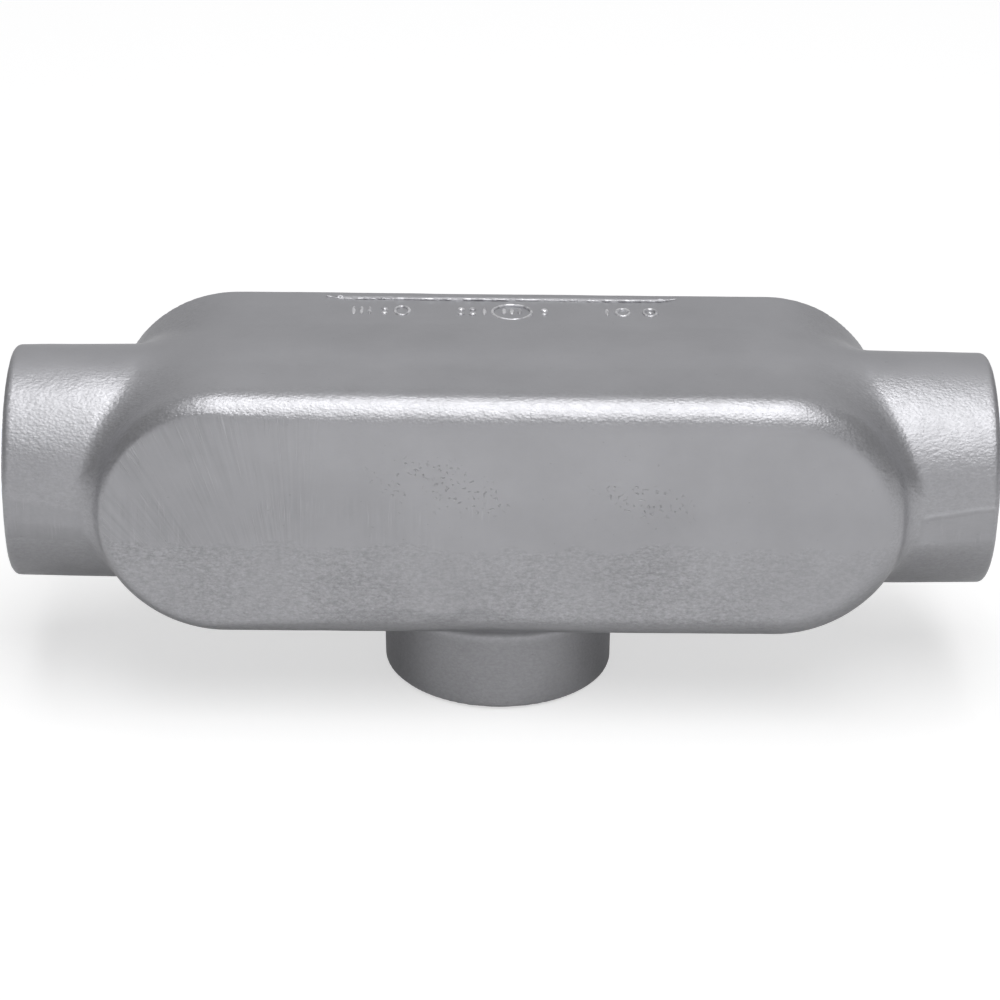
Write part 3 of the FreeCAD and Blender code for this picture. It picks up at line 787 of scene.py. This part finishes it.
def painted_casting(grain, grinding):
    """Aluminium enamel, sprayed over a sand casting whose back and hubs were dressed on a belt."""
    finish, board, shader = new_finish("aluminium_enamel_on_casting", Metallic=0.62)
    place = board.add("TexCoord").outputs["Object"]
    x, y, z = board.apart(place)
    at = SimpleNamespace(place=place, x=x, y=y, z=z, off_middle=board.size(x),
                         up=board.minus(z, AXIS * 0.001),
                         facing=board.apart(board.add("NewGeometry").outputs["Normal"]),
                         ragged=board.minus(board.noise(place, 130.0, 3.0, 0.55), 0.5))
    zones = worked_zones(board, at)
    strokes, stroke_tone = belt_strokes(board, at, zones, grinding)
    pits_with_glints = pinholes(board, at, zones.on_back)
    skin = board.use(grain, {"Place": board.stretched(place, (0.72, 1.0, 1.0)),
                             "Grain size": 0.00040, "Pores": 0.5})
    skin_left = board.times(board.minus(1.0, zones.smooth),
                            board.blend(zones.on_back, 0.8, zones.patchy))
    amount = board.weigh(zones.as_cast, 0.9, skin_left)

    # a low bead of sand fusion on the right hub and a stain above the lower edge of the back
    bead = board.times(board.fade(board.size(zones.slant), 0.0009, 0.0),
                       board.fade(x, 0.0615, 0.0630), board.fade(at.facing[1], -0.8, -0.95))
    stain_line = board.weigh(at.ragged, 0.004, board.plus(at.up, 0.0149))
    stain = board.times(board.fade(board.size(stain_line), 0.0013, 0.0003),
                        board.fade(board.size(board.plus(x, 0.012)), 0.016, 0.008))

    height = board.times(skin["Height"], amount)
    for part, weight in ((strokes, 0.85), (zones.above, -0.12), (pits_with_glints, -2.0), (bead, 3.2),
                         (board.noise(place, 420.0, 3.0, 0.6), board.weigh(amount, 0.8, 0.15))):
        height = board.weigh(part, weight, height)
    raise_by(board, shader, height, 0.000056)

    gritty = board.noise(board.stretched(place, (0.5, 1.0, 1.15)), 2300.0, 4.0, 0.72)
    gritty = board.minus(board.fade(gritty, 0.38, 0.62, smooth=False), 0.5)
    cloudy = board.minus(board.noise(place, 55.0, 3.0, 0.6), 0.5)
    # painted light: the dressed back is painted lighter towards its top, where more light falls
    painted_light_at_top = board.times(board.times(zones.dressed, board.fade(at.up, 0.0, 0.012)),
                          board.fade(x, -0.045, -0.015))
    tone = board.weigh(board.minus(skin["Tone"], 0.5), board.times(amount, 0.2), 0.5)
    # the pinholes are sunk by the bump and painted lighter in the tone, as painted glints
    for part, weight in ((gritty, board.times(amount, 0.24)), (stroke_tone, 0.45), (pits_with_glints, 0.12),
                         (stain, -0.22), (bead, 0.30), (zones.hub_front, -0.08), (cloudy, 0.5),
                         (skin["Pores"], -0.5), (zones.as_cast, -0.07), (painted_light_at_top, 0.13)):
        tone = board.weigh(part, weight, tone)
    colour = board.tint(tone, (0.355, 0.355, 0.372, 1), (0.625, 0.625, 0.651, 1))
    # painted shade: the enamel is painted darker where it faces down and on the lowest part of the
    # branch, where shade falls
    painted_shade_below = board.larger(board.fade(at.facing[2], -0.02, -0.45), board.fade(z, 0.0128, 0.0108))
    link(board, board.tint(board.times(painted_shade_below, 0.26), colour, (0.03, 0.03, 0.03, 1)), shader,
         "Base Color")
    sheen = board.weigh(board.noise(place, 700.0), 0.14, 0.34)
    sheen = board.weigh(board.fade(at.off_middle, 0.0585, 0.0620), 0.04, sheen)
    link(board, board.weigh(zones.smooth, 0.06, sheen), shader, "Roughness")
    return finish


def enamel_with_painted_highlight(grain):
    """The same enamel painted lighter where it stands proud, as a painted highlight on the tops of
    the marks and the burr.
    """
    finish, board, shader = new_finish("enamel_with_painted_highlight", Metallic=0.5)
    place = board.add("TexCoord").outputs["Object"]
    skin = board.use(grain, {"Place": place, "Grain size": 0.0003, "Pores": 0.2})
    raise_by(board, shader, skin["Height"], 0.00004)
    # painted highlight: patches of a much lighter colour on the proud tops
    highlight_patches = board.fade(board.noise(place, 900.0), 0.38, 0.56)
    link(board, board.tint(highlight_patches, (0.50, 0.50, 0.52, 1), (0.86, 0.86, 0.88, 1)), shader,
         "Base Color")
    link(board, board.weigh(highlight_patches, -0.1, 0.4), shader, "Roughness")
    return finish


def painted_cover(grain):
    """The same enamel on the smoother skin of rolled sheet."""
    finish, board, shader = new_finish("aluminium_enamel_on_sheet", Metallic=0.62)
    place = board.add("TexCoord").outputs["Object"]
    skin = board.use(grain, {"Place": place, "Grain size": 0.0011, "Pores": 0.1})
    raise_by(board, shader, skin["Height"], 0.00003)
    cloudy = board.noise(place, 40.0, 3.0, 0.6)
    link(board, board.tint(cloudy, (0.42, 0.423, 0.43, 1), (0.47, 0.473, 0.48, 1)), shader,
         "Base Color")
    link(board, board.weigh(cloudy, 0.1, 0.32), shader, "Roughness")
    return finish


def cut_thread(grinding):
    """Thread flanks, bare where the tap passed, with thin paint blown over them."""
    finish, board, shader = new_finish("tapped_thread", Metallic=0.75)
    place = board.add("TexCoord").outputs["Object"]
    x, y, z = board.apart(place)
    marks = board.use(grinding, {"Across": board.plus(board.size(x), z), "Along": y,
                                 "Line width": 0.0001, "Line length": 0.02})
    raise_by(board, shader, marks["Height"], 0.00002, 0.6)
    blown = board.noise(place, 260.0, 3.0, 0.6)
    link(board, board.tint(board.fade(blown, 0.4, 0.6), (0.30, 0.30, 0.30, 1),
                           (0.44, 0.44, 0.45, 1)), shader, "Base Color")
    link(board, board.weigh(blown, 0.2, 0.28), shader, "Roughness")
    return finish


def speckled_gasket():
    """Black neoprene with a fine speckle."""
    finish, board, shader = new_finish("gasket_neoprene", Metallic=0.0)
    speckle = board.noise(board.add("TexCoord").outputs["Object"], 1600.0, 3.0, 0.7)
    link(board, board.tint(speckle, (0.018, 0.018, 0.019, 1), (0.045, 0.045, 0.046, 1)), shader,
         "Base Color")
    link(board, board.weigh(speckle, 0.2, 0.6), shader, "Roughness")
    raise_by(board, shader, speckle, 0.00003, 0.5)
    return finish


def plated_screw(grinding):
    """Zinc plating over the rings that a lathe tool left around each head."""
    finish, board, shader = new_finish("zinc_plated_screw", Metallic=1.0)
    place = board.add("TexCoord").outputs["Object"]
    x, y, z = board.apart(place)
    off_centre = board.minus(board.size(x), SCREW_PLACE * 0.001)
    out = board.length(off_centre, board.minus(z, AXIS * 0.001))
    marks = board.use(grinding, {"Across": out, "Along": y,
                                 "Line width": 0.00009, "Line length": 0.02})
    raise_by(board, shader, marks["Height"], 0.000012, 0.5)
    haze = board.noise(place, 500.0, 3.0, 0.6)
    link(board, board.tint(haze, (0.56, 0.56, 0.55, 1), (0.68, 0.68, 0.68, 1)), shader,
         "Base Color")
    link(board, board.weigh(haze, 0.2, 0.2), shader, "Roughness")
    return finish


# ---- studio ----

def make_floor():
    """White paper for the eye and for mirror rays, and dark paper for light that bounces."""
    mesh = bpy.data.meshes.new("floor")
    mesh.from_pydata([(-FLOOR_REACH, -FLOOR_REACH, 0), (FLOOR_REACH, -FLOOR_REACH, 0),
                      (FLOOR_REACH, FLOOR_REACH, 0), (-FLOOR_REACH, FLOOR_REACH, 0)],
                     [], [(0, 1, 2, 3)])
    floor = bpy.data.objects.new("floor", mesh)
    floor.location.z = CAD_BOX[0].z - FLOOR_GAP
    bpy.context.scene.collection.objects.link(floor)
    paper, board, shader = new_finish("pale_paper", Roughness=0.9)
    paths = board.add("LightPath").outputs
    seen = paths["Is Camera Ray"]
    mirrored = board.larger(paths["Is Glossy Ray"], paths["Is Transmission Ray"])
    colour = board.tint(seen, FLOOR_BOUNCE, FLOOR_COLOUR)
    link(board, board.tint(mirrored, colour, FLOOR_MIRRORED), shader, "Base Color")
    strength = board.weigh(seen, FLOOR_GLOW, board.times(mirrored, MIRRORED_GLOW))
    glow = board.add("Emission", {"Color": (1, 1, 1, 1), "Strength": strength}).outputs[0]
    both = board.add("AddShader", {0: shader.outputs[0], 1: glow}).outputs[0]
    board.tree.links.new(both, board.tree.nodes["Material Output"].inputs["Surface"])
    mesh.materials.append(paper)


def make_lamp(name, place, aim, size, power):
    lamp = bpy.data.lights.new(name, "AREA")
    lamp.shape, lamp.size, lamp.size_y, lamp.energy = "RECTANGLE", size[0], size[1], power
    holder = bpy.data.objects.new(name, lamp)
    holder.location = place
    holder.rotation_mode = "QUATERNION"
    holder.rotation_quaternion = (Vector(aim) - Vector(place)).to_track_quat("-Z", "Y")
    bpy.context.scene.collection.objects.link(holder)


def light_studio():
    """One soft box nearly overhead and one low behind, each a metre away, in a room that is
    bright low in front and dark to the sides."""
    world = bpy.data.worlds.new("studio")
    bpy.context.scene.world = world
    world.use_nodes = True
    board = Board(world.node_tree)
    background = world.node_tree.nodes["Background"]
    way = board.apart(board.add("TexCoord").outputs["Generated"])
    low_in_front = board.times(board.fade(way[1], -0.5, -0.85), board.fade(way[2], 0.6, 0.3))
    room = board.tint(low_in_front, ROOM_MIDDLE, ROOM_FRONT)
    to_the_side = board.fade(board.size(way[0]), 0.35, 0.8)
    link(board, board.tint(to_the_side, room, ROOM_SIDES), background, "Color")
    middle = (0, 0, AXIS * 0.001)
    for name, rise, aside, size, power in SOFT_BOXES:
        rise = math.radians(rise)
        make_lamp(name, (aside, -math.cos(rise), math.sin(rise)), middle, size, power)


def place_camera():
    turn, rise, roll = (math.radians(angle) for angle in (VIEW_TURN, VIEW_RISE, VIEW_ROLL))
    ahead = Vector((math.sin(turn) * math.cos(rise), math.cos(turn) * math.cos(rise),
                    -math.sin(rise)))
    right = Vector((math.cos(turn), -math.sin(turn), 0))
    over = right.cross(ahead)
    side = right * math.cos(roll) - over * math.sin(roll)
    top = right * math.sin(roll) + over * math.cos(roll)
    camera = bpy.data.cameras.new("camera")
    camera.lens, camera.sensor_width = FOCAL_LENGTH * FILM_WIDTH, FILM_WIDTH
    camera.clip_start, camera.clip_end = 0.01, 20
    holder = bpy.data.objects.new("camera", camera)
    per_width = VIEW_AWAY / FOCAL_LENGTH
    place = (Vector((0, 0, AXIS * 0.001)) - ahead * VIEW_AWAY
             - side * VIEW_ASIDE * per_width - top * VIEW_BELOW * per_width)
    holder.matrix_world = Matrix.Translation(place) @ Matrix(
        (side, top, -ahead)).transposed().to_4x4()
    bpy.context.scene.collection.objects.link(holder)
    bpy.context.scene.camera = holder


def dress():
    grain, grinding = sand_grain_group(), grinding_group()
    enamel = painted_casting(grain, grinding)
    tapped = cut_thread(grinding)
    make_casting(enamel)
    for hub in ("left", "right", "branch"):
        make_thread(hub, tapped)
    # the marks and the burr take the enamel with a painted highlight
    highlight_finish = enamel_with_painted_highlight(grain)
    make_marks(highlight_finish)
    make_panel_edge(highlight_finish)
    make_cover(painted_cover(grain))
    plated = plated_screw(grinding)
    for side in ("left", "right"):
        make_screw(side, plated)
    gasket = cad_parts["cover_gasket"]
    gasket.data.materials.clear()
    gasket.data.materials.append(speckled_gasket())


dress()
make_floor()
light_studio()
place_camera()
bpy.context.scene.view_settings.view_transform = "Standard"
